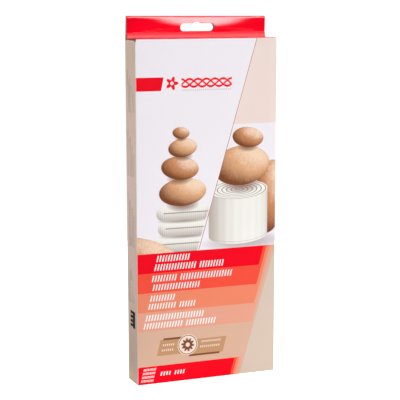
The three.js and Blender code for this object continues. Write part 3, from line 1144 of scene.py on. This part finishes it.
def make_lid():
    start, end = foot_crease.at, tuck_crease.points[0]
    line = FoldLine((start.real, start.imag), 180).straight(start.real - end.real, 1.5)
    grid = face_grid(line, PROFILE, LID_LOW[0], LID_HIGH[0], LID_SHARES)
    share = (grid[..., 1] - end.real) / (start.real - end.real)
    middle = np.cos(grid[..., 0] / LID_HIGH[0] * math.pi / 2)
    grid[..., 2] += LID_PROUD * (1 - share) - LID_BOW * np.sin(np.pi * np.clip(share, 0, 1)) * middle
    piece = board_piece("lid_panel", grid, [red_board])
    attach(piece, "lid")
    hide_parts("lid")


def make_tuck_flap():
    """The flap's free corners are round: each row near its end is cut shorter."""
    start = tuck_crease.at
    length = start.imag - TUCK_LOW[2]
    line = FoldLine((start.real, start.imag), 270).straight(length - TUCK_CORNER, 1.5)
    corner_top = TUCK_LOW[2] + TUCK_CORNER
    for turn in range(1, 9):
        line.points.append(complex(start.real, corner_top - TUCK_CORNER * math.sin(turn * math.pi / 16)))
    depth = np.array([max(0.0, corner_top - p.imag) for p in line.points])
    inset = TUCK_CORNER - np.sqrt(np.maximum(TUCK_CORNER**2 - depth**2, 0))
    shares = even_shares(2 * TUCK_HIGH[0], 4)
    grid = face_grid(line, PROFILE, TUCK_LOW[0] + inset, TUCK_HIGH[0] - inset, shares)
    piece = board_piece("tuck_panel", grid, [red_board])
    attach(piece, "tuck_flap")
    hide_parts("tuck_flap")


def make_creases():
    grid = face_grid(foot_crease, PROFILE, LID_LOW[0], LID_HIGH[0], LID_SHARES)
    piece = board_piece("lid_crease", grid, [red_board])
    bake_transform(piece)
    widths = np.linspace(LID_HIGH[0], TUCK_HIGH[0], len(tuck_crease.points))
    grid = face_grid(tuck_crease, PROFILE, -widths, widths, LID_SHARES)
    piece = board_piece("tuck_crease", grid, [red_board])
    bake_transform(piece)


make_lid()
make_tuck_flap()
make_creases()

# %% [markdown]
# ## Dust flaps
# The side panels fold in under the lid. Each flap tapers and has round corners, and
# its crease strip runs from the side panel's top edge over to the flap. Only the first
# few millimetres of a flap carry the side's beige: the rest is bare coating.

# %% Dust flap finish
def dust_finish():
    material, place, (x, y, z) = start_finish("dust_flap_coating")
    bleed = abs(x).rise(HALF_WIDTH - 4.6, HALF_WIDTH - 4.2)
    cloud = grain(place, 10, 3)
    colour = (cloud * 0.25).ink(screen(240, 237, 232), screen(228, 223, 215))
    colour = bleed.ink(colour, SIDE_BEIGE)
    return end_finish(material, place, colour, 0.5 + cloud * 0.12, relief(place, 0.006, 0.1),
                      Specular_IOR_Level=0.15)


dust_coating = dust_finish()

# %% Dust flaps
DUST_TAPER, DUST_CORNER = 2.5, 4.0
DUST_FOLD = 0.75
DUST_SINK = 0.4  # the flaps lie this much lower than packed, in the shade of the lid
DUST_FACE = DUST_HIGH[2] - DUST_SINK
BEND_FROM, BEND_TO = 0.55, 0.55  # how far the crease's bend reaches either side of the hinge


def make_dust_flap(side, name, body, node):
    """One flap and its crease. The right one is the left one mirrored."""
    free_end, bend_x = DUST_HIGH[0], DUST_HINGE[0] + BEND_TO
    steps = np.sin(np.linspace(0, math.pi / 2, 8))
    corner = free_end - DUST_CORNER + DUST_CORNER * steps[::-1]
    x = np.concatenate([corner, np.linspace(free_end - DUST_CORNER, bend_x, 10)[1:]])
    depth = np.maximum(x - (free_end - DUST_CORNER), 0)
    inset = DUST_CORNER - np.sqrt(np.maximum(DUST_CORNER**2 - depth**2, 0))
    taper = DUST_TAPER * (x - bend_x) / (free_end - bend_x)
    low, high = DUST_LOW[1] + taper + inset, DUST_HIGH[1] - taper - inset
    flap = FoldLine((x[0], DUST_FACE), 180)
    flap.points = [complex(value, DUST_FACE) for value in x]
    crease = FoldLine((bend_x, DUST_FACE), 180)
    crease.straight(bend_x + HALF_WIDTH - DUST_FOLD, 0.15).bend(90, DUST_FOLD, 8)
    crease.straight(DUST_FACE - DUST_FOLD - SIDE_TOP, 0.1)
    shares = even_shares(22, 2)
    panel_grid = face_grid(flap, ELEVATION, high, low, shares)
    crease_grid = face_grid(crease, ELEVATION, high[-1], low[-1], shares)
    panel = board_piece(f"{name}_panel", mirrored(panel_grid, side), [dust_coating])
    strip = board_piece(f"{name}_crease", mirrored(crease_grid, side), [dust_coating])
    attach(panel, body)
    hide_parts(node)
    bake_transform(strip)


def mirrored(grid, side):
    """The same grid on the left (-1), or on the right (1) with its print still outside."""
    if side < 0:
        return grid
    flipped = grid[:, ::-1].copy()
    flipped[..., 0] *= -1
    return flipped


for side, name in ((-1, "left_dust"), (1, "right_dust")):
    make_dust_flap(side, name, f"{name}_flap", f"{name}_flap")

# %% [markdown]
# ## Bottom
# The foot is closed like the top, but glued: a panel folds in from the back, lies
# over the bottom dust flaps and tucks up behind the front panel. Nothing here moves.
# The two dust flaps are flat and hidden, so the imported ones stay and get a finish.

# %% Bottom closure
BOTTOM_TUCK, BOTTOM_FOLD = 12.0, 0.7
BOTTOM_SPACE = 0.55  # between the tuck and the front panel's inner face


def make_bottom():
    front = FRONT_Y + BOARD + BOTTOM_SPACE
    line = FoldLine((front, BOTTOM_TUCK), 270).straight(BOTTOM_TUCK - BOTTOM_FOLD, 3)
    line.bend(90, BOTTOM_FOLD).straight(FLOOR_HIGH[1] - front - BOTTOM_FOLD, 3)
    grid = face_grid(line, PROFILE, FLOOR_LOW[0], FLOOR_HIGH[0], even_shares(2 * FLOOR_HIGH[0], 5))
    piece = board_piece("bottom_closure", spread(grid), [back_print])
    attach(piece, "carton")
    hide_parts("bottom_panel")


make_bottom()
for name in ("bottom_left_dust_flap", "bottom_right_dust_flap"):
    node = frame["nodes"][name]
    node.data.materials.clear()
    node.data.materials.append(board_inside)

# %% [markdown]
# ## Studio
# The carton stands on a white table. The room behind it is bright and the room in
# front is dark, so the varnish shows no grey veil and the red stays deep. Two soft
# patches of light in that dark room do the work, as large diffusers do: they fade at
# their edges, so their reflections on the varnish fade too. The first is what the
# tab's belly mirrors, the second, higher one is what its foot mirrors. Two softboxes,
# which the tab doesn't mirror, fill in from both sides. At the left the table is painted
# dark, a painted shadow in place of the carton's own, which keeps that side's foot in shade.

# %% Studio
DIFFUSERS = [  # aim, bright middle and faded edge in degrees from the aim, light
    ((0.39, -0.89, 0.245), 0, 15, 13.5),
    ((0.33, -0.80, 0.54), 6, 18, 3.4),
]
SOFTBOXES = {  # aim from the carton's top edge, distance in m, width and height in m, power in W
    "left_softbox": ((-1.0, -0.30, -0.03), 2.2, (0.80, 0.80), 16.0),
    "right_softbox": ((0.75, -0.55, 0.80), 1.6, (0.80, 0.80), 7.5),
}
TABLE_SHADE_EDGE, TABLE_SHADE_FULL = -66, -100  # where the table's painted shadow starts and is at its darkest, in mm
FLOOR_RADIUS = 0.65
ROOM_FRONT, ROOM_BACK, ROOM_ABOVE = 0.02, 1.0, 0.2
HORIZON, CEILING = (-0.35, 0.45), (0.3, 1.0)  # directions between which the light goes up


def add_room():
    """A room that is dark in front and bright behind, and plain white where the camera sees it."""
    world = bpy.data.worlds.new("white_room")
    bpy.context.scene.world = world
    world.use_nodes = True
    world.node_tree.nodes.clear()
    direction = Wire(world.node_tree).node("ShaderNodeTexCoord", output="Generated")
    parts = direction.node("ShaderNodeSeparateXYZ", None, {0: direction})
    light = parts.output("Y").rise(*HORIZON) * (ROOM_BACK - ROOM_FRONT) + ROOM_FRONT
    light = light + parts.output("Z").rise(*CEILING) * ROOM_ABOVE
    for aim, middle, edge, strength in DIFFUSERS:
        sockets = {0: direction, 1: tuple(Vector(aim).normalized())}
        near = direction.node("ShaderNodeVectorMath", {"operation": "DOT_PRODUCT"}, sockets, "Value")
        patch = near.rise(math.cos(math.radians(edge)), math.cos(math.radians(middle)))
        light = light + patch * strength
    room = direction.node("ShaderNodeBackground", None, {"Color": (1, 1, 1, 1), "Strength": light})
    white = direction.node("ShaderNodeBackground", None, {"Color": (1, 1, 1, 1), "Strength": 1.05})
    seen = direction.node("ShaderNodeLightPath", output="Is Camera Ray")
    both = direction.node("ShaderNodeMixShader", None, {0: seen, 1: room, 2: white})
    direction.node("ShaderNodeOutputWorld", None, {"Surface": both})


def add_softbox(name, aim, away, size, power):
    lamp = bpy.data.lights.new(name, "AREA")
    lamp.shape = "RECTANGLE"
    lamp.size, lamp.size_y = size
    lamp.energy = power
    softbox = bpy.data.objects.new(name, lamp)
    aim = Vector(aim).normalized()
    softbox.location = Vector((0, 0, TOP * MM)) + aim * away
    softbox.rotation_mode = "QUATERNION"
    softbox.rotation_quaternion = aim.to_track_quat("Z", "Y")
    bpy.context.scene.collection.objects.link(softbox)


def add_table():
    """A wide white disc under the carton. To the camera it shines, as an overexposed table does."""
    mesh = bpy.data.meshes.new("white_table")
    rim = [cmath.rect(FLOOR_RADIUS, 2 * math.pi * k / 96) for k in range(96)]
    mesh.from_pydata([(p.real, p.imag, 0) for p in rim], [], [tuple(range(96))])
    table = bpy.data.objects.new("white_table", mesh)
    bpy.context.scene.collection.objects.link(table)
    material, place, (x, y, z) = start_finish("white_table")
    cloud = grain(place, 400)
    colour = cloud.ink(screen(222, 222, 222), screen(228, 228, 228))
    # Painted shadow: the table turns dark at the left, where the carton's shadow would lie, so less
    # light comes back onto the left side's foot.
    colour = (x * -1).rise(-TABLE_SHADE_EDGE, -TABLE_SHADE_FULL).ink(colour, screen(34, 34, 34))
    shine = place.node("ShaderNodeLightPath", output="Is Camera Ray").ink((0, 0, 0, 1), (1, 1, 1, 1))
    end_finish(material, place, colour, 0.8 + cloud * 0.1, relief(place, 0.001, 0.001),
               Specular_IOR_Level=0.1, Emission_Color=shine, Emission_Strength=1.0)
    mesh.materials.append(material)


add_room()
for name, softbox in SOFTBOXES.items():
    add_softbox(name, *softbox)
add_table()
bpy.context.scene.view_settings.view_transform = "Standard"
print(len(DIFFUSERS), "diffusers and", ", ".join(SOFTBOXES))
